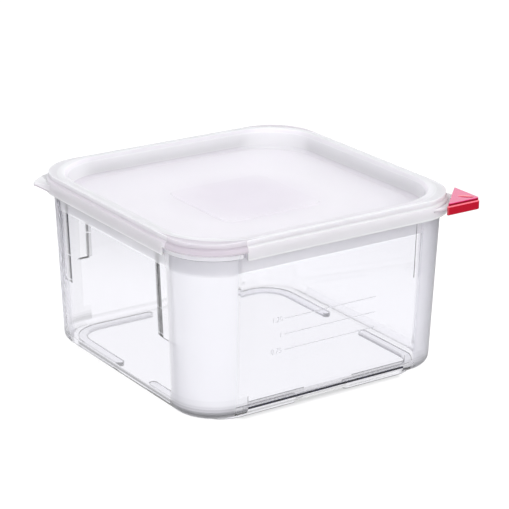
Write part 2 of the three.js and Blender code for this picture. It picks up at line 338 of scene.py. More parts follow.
def makeBox(materials):
    rings = []
    kinds = []  # what the band of faces from each ring to the next belongs to

    def add(kind, *args):
        kinds.append(kind)
        rings.append(ring(*args))

    def lineAt(side, owner):
        return box["lineEnd"] * mm, box["lineEndHalf"] * mm

    edge = box["baseEdge"] * mm
    for s, c in quarter(box["edgeSteps"]):
        height = footHeight + edge * (1 - c)
        back = edge * (1 - s)
        kind = "base" if c > tiny else "low"
        add(kind, wallHalf(height) - back, wallRadius(height) - back, height, lineAt)
    lowStart = len(rings) - 1
    for height, paintedShade in paintedLowWallShade:
        kind = "low" if height < paintedLowWallShade[-1][0] else "wall"
        height *= mm
        add(kind, wallHalf(height), wallRadius(height), height, lineAt)
    fillet = box["flangeFillet"] * mm
    add("plug", wallHalf(plugBottom), wallRadius(plugBottom), plugBottom)
    for s, c in quarter(box["roundSteps"]):
        height = flangeUnder - fillet * (1 - s)
        add("fillet", wallHalf(height) + fillet * (1 - c), wallRadius(height) + fillet * (1 - c), height)
    roundness = box["rimRound"] * mm
    flangeRadius = cornerRadius + box["flangeReach"] * mm
    add("under", rimHalf - roundness / 2, flangeRadius - roundness / 2, flangeUnder)
    add("face", rimHalf, flangeRadius, flangeUnder + roundness / 2)
    for s, c in quarter(box["roundSteps"]):
        back = roundness * (1 - c)
        add("top" if c > tiny else "rim", rimHalf - back, flangeRadius - back, rimTop - roundness * (1 - s))

    wall = box["wall"] * mm
    fadeShare = box["reliefFade"]
    drop = box["shelfDrop"] * mm

    def stepDepth(side, owner, height):
        shelf, depth = reliefSteps.get((side, owner), plainRelief)[3:]
        return depth * mm if height >= shelf * mm - drop / 2 else 0.0

    def ease(t):
        t = max(0.0, min(1.0, t))
        return t * t * (3 - 2 * t)

    def depthAt(i, height):
        # full next to a step, fading out into the round corner
        owner, angleShare, share = stations[i][:3]
        if angleShare is None:
            return share * stepDepth(i // sideLength, owner, height)
        before = stepDepth((owner - 1) % 4, owner, height) * (1 - ease(angleShare / fadeShare))
        after = stepDepth(owner, owner, height) * (1 - ease((1 - angleShare) / fadeShare))
        return before + after

    def addInner(height, back=0.0):
        inset = wall - back

        def stepAt(side, owner):
            place, topHalf, shelfHalf, shelf = reliefSteps.get((side, owner), plainRelief)[:4]
            down = max(0.0, min(1.0, (rimTop - height) / (rimTop - shelf * mm)))
            return place * mm, (topHalf + (shelfHalf - topHalf) * down) * mm

        def insetOf(i):
            return -depthAt(i, height)

        add("inner", wallHalf(height) - inset, wallRadius(height) - inset, height, stepAt, insetOf)
        heights[len(rings) - 1] = height

    heights = {}
    for s, c in quarter(box["roundSteps"]):
        addInner(rimTop - roundness * (1 - c), roundness * (1 - s))
    for shelf in sorted({step[3] for step in reliefSteps.values()}, reverse=True):
        addInner(shelf * mm)
        addInner(shelf * mm - drop)
    innerEdge = box["innerEdge"] * mm
    for s, c in quarter(box["edgeSteps"]):
        addInner(floorTop + innerEdge * (1 - s), -innerEdge * (1 - c))

    def shadeOf(level, i):
        # painted shade: the steps and the base edge are darkened where the light is turned away in them,
        # below nothing made paler
        owner, angleShare = stations[i][:2]
        place, nextPlace = stations[i][3], stations[(i + 1) % len(stations)][3]
        side = i // sideLength
        low = kinds[level] in ("base", "low")
        onArc = place is None and nextPlace is None
        if onArc and kinds[level] in paintedRimShade and owner in (0, 2):
            return paintedRimShade[kinds[level]]
        if onArc and kinds[level] in ("plug", "fillet") and owner == 2:
            return paintedPlugShade["near"]
        nearArc = place is None or nextPlace is None
        turned = 0.0
        if onArc and owner in paintedSideCornerShade and (low or kinds[level] in ("wall", "plug", "fillet")):
            start, stop, most = paintedSideCornerShade[owner]
            ending = ease((1 - angleShare + start) / paintedSideCornerShadeEnd)
            turned = most * ease((angleShare - start) / (stop - start)) * ending
        if nearArc and owner == 0 and low:
            return 0.0
        if nearArc and kinds[level] == "low":
            return max(turned, paintedLowWallShade[level - lowStart][1])
        if onArc and kinds[level] in ("wall", "plug", "fillet"):
            return paintedPlugShade["nearWall"] if owner == 2 else turned
        if kinds[level] == "base" and nearArc:
            paintedShade = paintedBaseEdgeShade["arc"][level] * (1.0 if owner == 2 else paintedBaseEdgeShade["sideArcs"])
            return max(turned, paintedShade)
        if low and side == 2 and "gap" not in (place, nextPlace):
            return frontLine["end"]
        part = "middle" if place == "gap" and nextPlace == "gap" else "feet"
        if kinds[level] == "low":
            return frontLine[part][level - lowStart] if side == 2 else 0.0
        if kinds[level] == "base":
            return paintedBaseEdgeShade["middle" if part == "middle" and side == 2 else side][level]
        if kinds[level] in ("plug", "fillet"):
            return paintedPlugShade.get(side, 0.0)
        if place in (None, "gap") or nextPlace in (None, "gap") or (side, owner) not in paintedStepShade:
            return 0.0
        if level not in heights or level + 1 not in heights:
            return 0.0
        if heights[level] - heights[level + 1] < 2 * drop:
            return 0.0
        if stepDepth(side, owner, heights[level + 1]) == 0.0:
            return 0.0
        return paintedStepShade[(side, owner)][stepPlaces.index(max(place, nextPlace))]

    body = loft("clear_box", rings, materials, shadeOf)
    combine(body, [makeFoot(signX, signY) for signX, signY in cornerSigns], "UNION")
    smooth(body)
    print("box made:", len(body.data.polygons), "faces")
    return body


# the lid

lid = {
    "seatClearance": 0.3, "plugClearance": 0.4, "skirtClearance": 0.3, "wall": 1.6, "panel": 1.8,
    "shoulderDrop": 0.4, "crestSetback": 0.5, "crestCorner": 39.0, "crestWidth": 4.8, "crestRound": 0.7,
    "recessDepth": 11.5, "recessLead": 2.0, "recessSlope": 1.6, "recessDraft": 0.6, "recessEdge": 2.0,
    "plugDraft": 0.4, "plugRound": 0.5, "plugPast": 1.4, "skirtDrop": 4.2, "skirtStep": 3.8,
    "skirtFlare": 0.3, "skirtRound": 0.35, "skirtCut": 31.0, "seatLip": 0.1,
    "padHalf": 32.0, "padRaise": 0.5, "padCorner": 7.0, "coreSteps": 3, "edgeSteps": 6,
    "tabUnder": 0.2, "tabThickness": 2.0, "tabCorner": 13.0, "tabRound": 0.5, "tabDroop": 0.45,
    "tabGusset": 3.4, "tabShadeBand": 1.8, "tabRootShare": 0.6, "paintedFarHighlight": 0.9,
}
# painted highlights and shade on each band of the outside, where thin edges catch light: above nothing
# paler, below nothing greyer; back and right, left, front
paintedLidLight = {
    "plug": (0.7, 1.0, 0.7), "lip": (1.0, 0.3, 1.0), "skirt": (0.0, -0.1, 0.0),
    "ledgeEdge": (1.0, -0.4, 1.0), "ledge": (0.3, -0.2, 0.3), "shoulder": (0.0, -0.05, 0.0),
    "shoulderEdge": (0.5, 0.5, 0.5), "crestEdge": (1.0, 1.0, 1.0), "crest": (1.0, 1.0, 0.2),
    "crestInside": (0.6, 0.6, 0.6), "lead": (0.2, 0.2, 0.2), "well": (1.0, 1.0, 1.0),
    "pad": (-0.05, -0.05, -0.05),
}
# painted shade: the bare near and far corners are greyer on their outside
paintedBareCornerShade = {
    "lip": -1.0, "skirt": -0.75, "ledgeEdge": -0.75, "ledge": -0.75, "shoulder": -0.5, "shoulderEdge": -0.5,
}
# painted highlight on the tab's top and painted shade along its lower edge
paintedTabLight = {"top": 0.6, "edge": 0.1, "lowEdge": -1.0, "facingUp": 0.3}

plugBottom = lidLow.z - lid["plugPast"] * mm


def makeTab(signX, signY, start, root, droop, gusset):
    # corner plate from an arc inside the skirt out to a tighter round corner
    low = rimTop - lid["tabUnder"] * mm
    high = low + lid["tabThickness"] * mm
    corner = lid["tabCorner"] * mm

    def outline(inset):
        points = arcPoints(tabHalf - corner, tabHalf - corner, corner - inset, 90, 0, arcSteps)
        points += arcPoints(start, start, root, 0, 90, arcSteps)
        return [(signX * x, signY * y) for x, y in points]

    edge = lid["tabRound"] * mm
    shadeBandTop = low + lid["tabShadeBand"] * edge  # top of the band of painted shade along the lower edge
    part = edge * roundShare
    levels = ((edge, low), (part, low + part), (0.0, low + edge), (0.0, shadeBandTop),
              (0.0, high - edge), (part, high - part), (edge, high))
    outlines = [(outline(inset), height) for inset, height in levels]

    def shadeOf(face):
        if face.normal.z > paintedTabLight["facingUp"]:
            return paintedTabLight["top"]
        return paintedTabLight["lowEdge" if face.center.z < shadeBandTop else "edge"]

    piece = prism("tab", outlines, (), shadeOf)
    skirtCorner = start * math.sqrt(2) + root
    for vert in piece.data.vertices:
        reach = (signX * vert.co.x + signY * vert.co.y) / math.sqrt(2) - skirtCorner
        vert.co.z -= droop * max(0.0, reach)
        atRoot = math.hypot(signX * vert.co.x - start, signY * vert.co.y - start) < root + edge / 4
        if atRoot and vert.co.z < (low + high) / 2:
            vert.co.z -= gusset  # the underside runs down to the skirt's edge
    return piece


def makeLid(materials):
    seat = rimTop + lid["seatClearance"] * mm
    top = lidHigh.z
    wall = lid["wall"] * mm
    plugHalf = mouthHalf - (box["wall"] + lid["plugClearance"]) * mm
    plugRadius = cornerRadius - box["wall"] * mm
    plugLow = plugHalf - lid["plugDraft"] * mm
    panelTop = top - lid["recessDepth"] * mm
    panelUnder = panelTop - lid["panel"] * mm
    setback = lid["crestSetback"] * mm
    shoulderHalf = rimHalf + setback
    shoulderRadius = cornerRadius + setback
    shoulderTop = top - lid["shoulderDrop"] * mm
    channelTop = top - wall - lid["shoulderDrop"] / 2 * mm
    skirtHalf = rimHalf + lid["skirtClearance"] * mm + wall
    skirtRadius = shoulderRadius + skirtHalf - shoulderHalf
    skirtBottom = rimTop - lid["skirtDrop"] * mm
    skirtTop = rimTop + lid["skirtStep"] * mm
    mark = rimHalf - lid["skirtCut"] * mm
    cut = seat - lid["seatLip"] * mm - skirtBottom

    def cutLift(i):
        # the skirt ends higher at the two corners without tabs
        owner, share = stations[i][0], stations[i][2]
        return cut * share if owner in (0, 2) else 0.0

    def cutAt(side, owner):
        return mark, plainStep

    rings = []
    bands = []  # what the band of faces from each ring to the next is

    def add(line, back, height, band=None, raised=False):
        # line is a half width and a corner radius, and back sets the ring in from it
        half, radius = line
        bands.append(band)
        rings.append(ring(half - back, radius - back, height, cutAt, liftOf=cutLift if raised else None))

    rounded = lid["plugRound"] * mm
    core = (plugLow - wall, plugRadius - wall)
    for s, c in quarter(lid["coreSteps"]):
        add(core, 2 * rounded * (1 - s), panelUnder - 2 * rounded * (1 - c))
    add(core, 0.0, plugBottom + rounded)
    add(core, -rounded / 2, plugBottom)
    plug = (plugLow, plugRadius)
    add(plug, rounded / 2, plugBottom)
    add(plug, 0.0, plugBottom + rounded, "plug")
    add((plugHalf, plugRadius), 0.0, seat)
    channelInner = (plugHalf + wall, plugRadius + wall)
    add(channelInner, 0.0, seat)
    add(channelInner, 0.0, channelTop)
    channelOuter = (shoulderHalf - wall, shoulderRadius - wall)
    add(channelOuter, 0.0, channelTop)
    add(channelOuter, 0.0, seat)
    skirtInside = (skirtHalf - wall, skirtRadius - wall)
    lip = lid["skirtRound"] * mm
    add(skirtInside, 0.0, seat)
    add(skirtInside, 0.0, skirtBottom + lip / 4, raised=True)
    add(skirtInside, -lip, skirtBottom, raised=True)
    skirt = (skirtHalf, skirtRadius)
    add(skirt, lip, skirtBottom, "lip", True)
    add(skirt, lip * roundShare, skirtBottom + lip * roundShare, "lip", True)
    add(skirt, 0.0, skirtBottom + lip, "lip", True)
    add(skirt, 0.0, skirtBottom + 3 * lip, "skirt", True)
    flare = lid["skirtFlare"] * mm
    add(skirt, flare, skirtTop - wall / 2, "ledgeEdge")
    add(skirt, flare + lip, skirtTop - wall / 4, "ledgeEdge")
    shoulder = (shoulderHalf, shoulderRadius)
    add(shoulder, -lip, skirtTop - lip / 4, "ledge")
    add(shoulder, 0.0, skirtTop + lip, "shoulder")
    add(shoulder, 0.0, shoulderTop - lip, "shoulderEdge")
    add(shoulder, lip / 3, shoulderTop, "shoulderEdge")
    crestRadius = lid["crestCorner"] * mm
    crest = lid["crestRound"] * mm
    add((rimHalf - crest / 4, crestRadius), 0.0, top - crest / 3, "crestEdge")
    add((rimHalf, crestRadius), crest, top, "crest")
    width = lid["crestWidth"] * mm
    recess = (rimHalf - width, crestRadius - width)
    add(recess, -crest, top, "crestInside")
    add(recess, 0.0, top - crest / 3, "lead")
    slope = width + lid["recessSlope"] * mm
    well = (rimHalf - slope, crestRadius - slope)
    lead = top - lid["recessLead"] * mm
    add(well, -crest / 3, lead + crest / 3, "well")
    add(well, 0.0, lead - crest / 2, "well")
    wellFoot = (rimHalf - slope - lid["recessDraft"] * mm, crestRadius - slope)
    edge = lid["recessEdge"] * mm
    for s, c in quarter(lid["edgeSteps"]):
        add(wellFoot, edge * (1 - c), panelTop + edge * (1 - s), "wellFoot" if c > tiny else None)
    pad = (lid["padHalf"] * mm, lid["padCorner"] * mm)
    raiseBy = lid["padRaise"] * mm
    add(pad, -raiseBy, panelTop)
    add(pad, -raiseBy / 2, panelTop + raiseBy / 2)
    add(pad, 0.0, panelTop + raiseBy, "pad")

    # painted light and shade of a face from its band and its place on the ring
    def paintedLightOf(level, i):
        owner, angleShare = stations[i][:2]
        band = bands[level]
        rest, left, front = paintedLidLight.get(band, (0.0, 0.0, 0.0))
        sides = (rest, left, front, rest)
        if angleShare is None:
            return sides[i // sideLength]
        if owner in (0, 2) and band in paintedBareCornerShade:
            return paintedBareCornerShade[band]
        # a painted highlight along the far corner's recess foot
        if owner == 0 and band == "wellFoot":
            return lid["paintedFarHighlight"] * math.sin(math.pi * angleShare)
        return sides[owner - 1] * (1 - angleShare) + sides[owner] * angleShare

    body = loft("milky_lid", rings, materials, paintedLightOf)
    start = skirtHalf - skirtRadius
    root = skirtRadius - wall * lid["tabRootShare"]
    clipTab = makeTab(1, -1, start, root, 0.0, 0.0)
    bareTab = makeTab(-1, 1, start, root, lid["tabDroop"], lid["tabGusset"] * mm)
    combine(body, [clipTab, bareTab], "UNION")
    smooth(body)
    print("lid made:", len(body.data.polygons), "faces")
    return body


# the clip

clip = {
    "setback": 1.0, "tipRadius": 2.4, "smallRadius": 0.8, "clearance": 0.3, "bevel": 0.5,
    "step": 1.4, "stepInset": 0.6, "chamfer": 0.6, "topRound": 0.3, "steps": 8,
    "ribLength": 9.0, "ribWidth": 3.2, "ribHeight": 0.5, "leastRadius": 0.2, "roundSteps": 4,
    "facingDown": -0.5, "ribFacingFront": -0.35, "ribSegments": 32, "ribRings": 20,
}
# places on the red finish's ramp, with painted shade in the step and underneath and painted highlights on
# the top, the chamfer and the rib
paintedClipShading = {"side": 0.25, "top": 0.5, "chamfer": 1.0, "step": 0.1, "under": 0.0}


def clipLongSide():
    # how far out along the corner's diagonal the clip starts, just past the lid's skirt
    skirtHalf = rimHalf + (lid["skirtClearance"] + lid["wall"]) * mm
    radius = cornerRadius + skirtHalf - rimHalf
    return (skirtHalf - radius) * math.sqrt(2) + radius + clip["setback"] * mm


def clipOutline(inset):
    # right-angled triangle with round corners, its right angle out at the +X -Y corner
    far = clipHalf - inset
    near = (clipLongSide() + inset) * math.sqrt(2) - far
    tip = max(clip["tipRadius"] * mm - inset, clip["leastRadius"] * mm)
    small = max(clip["smallRadius"] * mm - inset, clip["leastRadius"] * mm)
    reach = small / math.tan(math.pi / 8)
    arcs = ((far - tip, -far + tip, tip, 0, -90),
            (near + reach, -far + small, small, -90, -225),
            (far - small, -near - reach, small, 135, 0))
    return [point for arc in arcs for point in arcPoints(*arc, clip["steps"])]


def makeClip(materials):
    low = clipLow.z
    ribHeight = clip["ribHeight"] * mm
    high = clipHigh.z - ribHeight
    bevel = clip["bevel"] * mm
    chamfer = clip["chamfer"] * mm
    ledge = high - clip["step"] * mm
    inset = clip["stepInset"] * mm
    roundness = clip["topRound"] * mm
    turns = quarter(clip["roundSteps"])
    levels = [(bevel * (1 - s), low + bevel * (1 - c)) for s, c in turns]
    levels += [(0.0, ledge - chamfer), (inset, ledge)]
    levels += [(inset + roundness * (1 - c), high - roundness * (1 - s)) for s, c in turns]
    outlines = [(clipOutline(back), height) for back, height in levels]

    # painted light and shade by the face's height and facing
    def toneOf(face):
        if face.normal.z < clip["facingDown"]:
            return paintedClipShading["under"]
        if face.center.z > high - roundness:
            return paintedClipShading["top"]
        if face.center.z > ledge:
            return paintedClipShading["step"]
        return paintedClipShading["chamfer" if face.center.z > ledge - chamfer else "side"]

    body = prism("red_clip", outlines, materials, toneOf)

    gap = clip["clearance"] * mm
    tabLow = rimTop - lid["tabUnder"] * mm - gap
    tabHigh = tabLow + lid["tabThickness"] * mm + 2 * gap
    pocketHalf = tabHalf + gap
    pocketRadius = lid["tabCorner"] * mm + gap
    pocket = loft("pocket", [ring(pocketHalf, pocketRadius, height) for height in (tabLow, tabHigh)])
    combine(body, [pocket], "DIFFERENCE")

    place = (clipLongSide() / math.sqrt(2) + clipHalf) / 2
    shape = bmesh.new()
    turn = Matrix.Translation((place, -place, high)) @ Matrix.Rotation(-math.pi / 4, 4, "Z")
    size = Matrix.Diagonal((clip["ribLength"] / 2 * mm, clip["ribWidth"] / 2 * mm, ribHeight, 1.0))
    bmesh.ops.create_uvsphere(shape, u_segments=clip["ribSegments"], v_segments=clip["ribRings"], radius=1.0,
                              matrix=turn @ size)
    mesh = bpy.data.meshes.new("rib")
    shape.to_mesh(mesh)
    shape.free()
    rib = bpy.data.objects.new("rib", mesh)
    scene.collection.objects.link(rib)
    # painted shade on the rib's front flank and a painted highlight on its top
    front = clip["ribFacingFront"]
    addShade(rib, [paintedClipShading["step" if face.normal.y < front else "chamfer"] for face in mesh.polygons])
    combine(body, [rib], "UNION")
    smooth(body)
    print("clip made:", len(body.data.polygons), "faces")
    return body


# volume lines and numbers on the front wall

marks = {
    "first": 36.7, "spacing": 9.1, "count": 3, "left": -30.0, "length": 60.0, "width": 0.5, "raise": 0.12,
    "numberSize": 4.2, "numberGap": 1.5, "numbers": ("0.75", "1", "1.25"),
    "color": (0.94, 0.94, 0.96), "roughness": 0.5, "transmission": 0.7,
}


def lineTree():
    tree = bpy.data.node_groups.new("volumeLines", "GeometryNodeTree")
    tree.interface.new_socket("Geometry", in_out="INPUT", socket_type="NodeSocketGeometry")
    inputs = {}
    kinds = {"Count": "Int", "Spacing": "Float", "Length": "Float", "Width": "Float", "Raise": "Float",
             "Material": "Material"}
    for name, kind in kinds.items():
        socket = tree.interface.new_socket(name, in_out="INPUT", socket_type="NodeSocket" + kind)
        inputs[name] = socket.identifier
    tree.interface.new_socket("Geometry", in_out="OUTPUT", socket_type="NodeSocketGeometry")
    nodes = tree.nodes
    enter = nodes.new("NodeGroupInput")
    leave = nodes.new("NodeGroupOutput")
    column = nodes.new("GeometryNodeMeshLine")
    step = nodes.new("ShaderNodeCombineXYZ")
    bar = nodes.new("GeometryNodeMeshCube")
    size = nodes.new("ShaderNodeCombineXYZ")
    copies = nodes.new("GeometryNodeInstanceOnPoints")
    real = nodes.new("GeometryNodeRealizeInstances")
    finish = nodes.new("GeometryNodeSetMaterial")
    link = tree.links.new
    link(enter.outputs["Count"], column.inputs["Count"])
    link(enter.outputs["Spacing"], step.inputs["Y"])
    link(step.outputs["Vector"], column.inputs["Offset"])
    link(enter.outputs["Length"], size.inputs["X"])
    link(enter.outputs["Width"], size.inputs["Y"])
    link(enter.outputs["Raise"], size.inputs["Z"])
    link(size.outputs["Vector"], bar.inputs["Size"])
    link(column.outputs["Mesh"], copies.inputs["Points"])
    link(bar.outputs["Mesh"], copies.inputs["Instance"])
    link(copies.outputs["Instances"], real.inputs["Geometry"])
    link(real.outputs["Geometry"], finish.inputs["Geometry"])
    link(enter.outputs["Material"], finish.inputs["Material"])
    link(finish.outputs["Geometry"], leave.inputs["Geometry"])
    return tree, inputs


def onFrontWall(piece, left, low):
    # maps a flat drawing (x along the wall, y up, z out of it) onto the drafted front wall
    for vert in piece.data.vertices:
        height = low + vert.co.y
        vert.co = (left + vert.co.x, -wallHalf(height) - vert.co.z, height)
    piece.data.update()


def makeMarks(material):
    tree, inputs = lineTree()
    lines = makeObject("volume_lines", [(0, 0, 0)], [])
    maker = lines.modifiers.new("volumeLines", "NODES")
    maker.node_group = tree
    values = {"Count": marks["count"], "Spacing": marks["spacing"] * mm, "Length": marks["length"] * mm,
              "Width": marks["width"] * mm, "Raise": marks["raise"] * mm, "Material": material}
    for name, value in values.items():
        maker[inputs[name]] = value
    settle(lines)
    onFrontWall(lines, (marks["left"] + marks["length"] / 2) * mm, marks["first"] * mm)
    pieces = [lines]
    for i, number in enumerate(marks["numbers"]):
        text = bpy.data.curves.new("number", "FONT")
        text.body = number
        text.size = marks["numberSize"] * mm
        text.align_x = "RIGHT"
        text.align_y = "CENTER"
        text.extrude = marks["raise"] / 2 * mm
        holder = bpy.data.objects.new("number", text)
        scene.collection.objects.link(holder)
        bpy.context.view_layer.update()
        mesh = bpy.data.meshes.new_from_object(holder.evaluated_get(bpy.context.evaluated_depsgraph_get()))
        bpy.data.objects.remove(holder)
        piece = bpy.data.objects.new("volume_number_" + str(i + 1), mesh)
        scene.collection.objects.link(piece)
        height = marks["first"] + i * marks["spacing"]
        onFrontWall(piece, (marks["left"] - marks["numberGap"]) * mm, height * mm)
        piece.data.materials.clear()
        piece.data.materials.append(material)
        pieces.append(piece)
    print("volume lines made:", marks["count"], "lines and", len(marks["numbers"]), "numbers")
    return pieces


# finishes

bumpDetail = 3.0


def newMaterial(name):
    material = bpy.data.materials.new(name)
    material.use_nodes = True
    tree = material.node_tree
    return material, tree, tree.nodes, tree.links.new, tree.nodes["Principled BSDF"]


def setSockets(node, values):
    for name, value in values.items():
        node.inputs[name].default_value = value


def faceShade(tree):
    # the value that addShade left on the faces
    node = tree.nodes.new("ShaderNodeAttribute")
    node.attribute_name = "edgeShade"
    return node.outputs["Fac"]


def splitPlace(tree, place):
    # the three coordinates of a place
    node = tree.nodes.new("ShaderNodeSeparateXYZ")
    tree.links.new(place, node.inputs["Vector"])
    return node.outputs["X"], node.outputs["Y"], node.outputs["Z"]


def blend(tree, factor, first, second):
    # from the first colour to the second, each a fixed one or a socket
    node = tree.nodes.new("ShaderNodeMix")
    node.data_type = "RGBA"
    tree.links.new(factor, node.inputs["Factor"])
    for name, color in (("A", first), ("B", second)):
        if isinstance(color, tuple):
            node.inputs[name].default_value = (*color, 1.0)
        else:
            tree.links.new(color, node.inputs[name])
    return node.outputs["Result"]


def mixShaders(tree, factor, first, second):
    node = tree.nodes.new("ShaderNodeMixShader")
    for socket, value in zip(node.inputs, (factor, first, second)):
        tree.links.new(value, socket)
    return node.outputs["Shader"]


def dot(tree, vector, direction):
    node = tree.nodes.new("ShaderNodeVectorMath")
    node.operation = "DOT_PRODUCT"
    node.inputs[1].default_value = direction
    tree.links.new(vector, node.inputs[0])
    return node.outputs["Value"]


def calc(tree, operation, first, second=None):
    node = tree.nodes.new("ShaderNodeMath")
    node.operation = operation
    for socket, value in zip(node.inputs, (first, second)):
        if value is None:
            continue
        if isinstance(value, (int, float)):
            socket.default_value = value
        else:
            tree.links.new(value, socket)
    return node.outputs["Value"]


def hypot(tree, x, y):
    squares = [calc(tree, "MULTIPLY", side, side) for side in (x, y)]
    return calc(tree, "SQRT", calc(tree, "ADD", *squares))


def fade(tree, value, start, stop, first, last):
    node = tree.nodes.new("ShaderNodeMapRange")
    node.interpolation_type = "SMOOTHSTEP"
    setSockets(node, {"From Min": start, "From Max": stop, "To Min": first, "To Max": last})
    tree.links.new(value, node.inputs["Value"])
    return node.outputs["Result"]


def bumps(tree, place, scale, strength, distance):
    # fine surface waviness
    noise = tree.nodes.new("ShaderNodeTexNoise")
    setSockets(noise, {"Scale": scale, "Detail": bumpDetail})
    bump = tree.nodes.new("ShaderNodeBump")
    setSockets(bump, {"Strength": strength, "Distance": distance})
    tree.links.new(place, noise.inputs["Vector"])
    tree.links.new(noise.outputs["Fac"], bump.inputs["Height"])
    return bump


def grain(tree, shader, waves):
    place = tree.nodes.new("ShaderNodeTexCoord").outputs["Object"]
    bump = bumps(tree, place, *waves)
    tree.links.new(bump.outputs["Normal"], shader.inputs["Normal"])


clear = {
    "color": (0.985, 0.985, 0.995), "roughness": 0.03, "ior": 1.49, "tint": (0.70, 0.69, 0.77),
    "density": 60.0, "paintedPale": 0.8, "paintedShade": (0.0, 0.0, 0.0003), "pass": (0.95, 0.95, 0.96),
    "satinRoughness": 0.38, "satinTransmission": 0.88, "satinEdge": 0.4, "satinLow": 0.02,
    "satinStartX": 2.0, "satinStartFarX": 10.0, "satinStartY": -3.5, "satinStartFarY": 4.0,
    "satinFar": 0.25, "satinFarSoft": 16.0,
    "waves": (18.0, 0.05, 0.002), "satinGrain": (2600.0, 0.12, 0.0002),  # scale, strength, depth in metres
}


def cornerMask(tree, place):
    # 1 on the round corners of the wall, from the base edge up to the flange, fading over the satin's edge
    x, y, height = splitPlace(tree, place)
    first = wallHalf(0.0) - wallRadius(0.0)
    slope = (wallHalf(rimTop) - wallRadius(rimTop) - first) / rimTop
    edge = calc(tree, "ADD", calc(tree, "MULTIPLY", height, slope), first)
    past = [calc(tree, "SUBTRACT", calc(tree, "ABSOLUTE", along), edge) for along in (x, y)]
    shell = (box["baseCorner"] - box["wall"] - box["innerEdge"]) * mm
    mask = calc(tree, "GREATER_THAN", hypot(tree, *past), shell)
    soft = clear["satinEdge"] * mm
    farSide = calc(tree, "GREATER_THAN", y, 0.0)
    sharp = fade(tree, farSide, 0.0, 1.0, 1.0, 1.0 / clear["satinFarSoft"])
    for reach, axis in zip(past, ("X", "Y")):
        near, far = clear["satinStart" + axis] * mm, clear["satinStartFar" + axis] * mm
        reach = calc(tree, "SUBTRACT", reach, fade(tree, farSide, 0.0, 1.0, near, far))
        reach = calc(tree, "MULTIPLY", reach, sharp)
        mask = calc(tree, "MULTIPLY", mask, fade(tree, reach, -soft / 2, soft / 2, 0.0, 1.0))
    over = calc(tree, "GREATER_THAN", height, footHeight + clear["satinLow"] * mm)
    mask = calc(tree, "MULTIPLY", mask, over)
    # the far corner, seen through the box, is finer
    onRight = calc(tree, "GREATER_THAN", x, 0.0)
    far = calc(tree, "MULTIPLY", farSide, onRight)
    return calc(tree, "MULTIPLY", mask, fade(tree, far, 0.0, 1.0, 1.0, clear["satinFar"]))


def clearPlastic():
    # polished walls with satin corners
    material, tree, nodes, link, shader = newMaterial("clear_plastic")
    shader.inputs["IOR"].default_value = clear["ior"]
    place = nodes.new("ShaderNodeTexCoord").outputs["Object"]
    mask = cornerMask(tree, place)
    shade = faceShade(tree)
    # painted shade: each face's shade darkens the plastic towards a near black colour
    link(blend(tree, shade, clear["color"], clear["paintedShade"]), shader.inputs["Base Color"])
    rough = fade(tree, mask, 0.0, 1.0, clear["roughness"], clear["satinRoughness"])
    link(rough, shader.inputs["Roughness"])
    # below nothing the shade makes the face less clear and more diffuse, a painted paleness standing in for
    # light
    paintedPale = calc(tree, "MULTIPLY", shade, -clear["paintedPale"])
    paintedPale = calc(tree, "SUBTRACT", 1.0, calc(tree, "MAXIMUM", paintedPale, 0.0))
    satin = fade(tree, mask, 0.0, 1.0, 1.0, clear["satinTransmission"])
    link(calc(tree, "MINIMUM", paintedPale, satin), shader.inputs["Transmission Weight"])
    wave = bumps(tree, place, *clear["waves"])
    fine = bumps(tree, place, *clear["satinGrain"])
    link(calc(tree, "MULTIPLY", mask, clear["satinGrain"][1]), fine.inputs["Strength"])
    link(wave.outputs["Normal"], fine.inputs["Normal"])
    link(fine.outputs["Normal"], shader.inputs["Normal"])
    tint = nodes.new("ShaderNodeVolumeAbsorption")
    setSockets(tint, {"Color": (*clear["tint"], 1.0), "Density": clear["density"]})
    output = nodes["Material Output"]
    link(tint.outputs["Volume"], output.inputs["Volume"])
    # lamps shine through the plastic
    path = nodes.new("ShaderNodeLightPath")
    passing = nodes.new("ShaderNodeBsdfTransparent")
    passing.inputs["Color"].default_value = (*clear["pass"], 1.0)
    shadow = path.outputs["Is Shadow Ray"]
    surface = mixShaders(tree, shadow, shader.outputs["BSDF"], passing.outputs["BSDF"])
    link(surface, output.inputs["Surface"])
    return material


milky = {
    "color": (0.905, 0.838, 0.900), "paintedHighlightColor": (0.995, 0.975, 0.99), "paintedShadeColor": (0.52, 0.472, 0.515),
    "paintedPanelShadeColor": (0.845, 0.804, 0.846), "paintedMiddleShadeColor": (0.735, 0.692, 0.747),
    "middleStart": 20.0, "middleEnd": 54.0,
    "specular": 0.3, "roughness": 0.25, "ior": 1.5, "transmission": 0.2, "scatter": 1.0,
    "scatterRadius": (1.0, 0.95, 1.0), "scatterDepth": 8.0, "cloudScale": 22.0, "cloudDetail": 2.0,
    "cloudFrom": 0.3, "cloudTo": 0.7, "cloudDepth": 0.12, "grain": (900.0, 0.04, 0.0004),
}


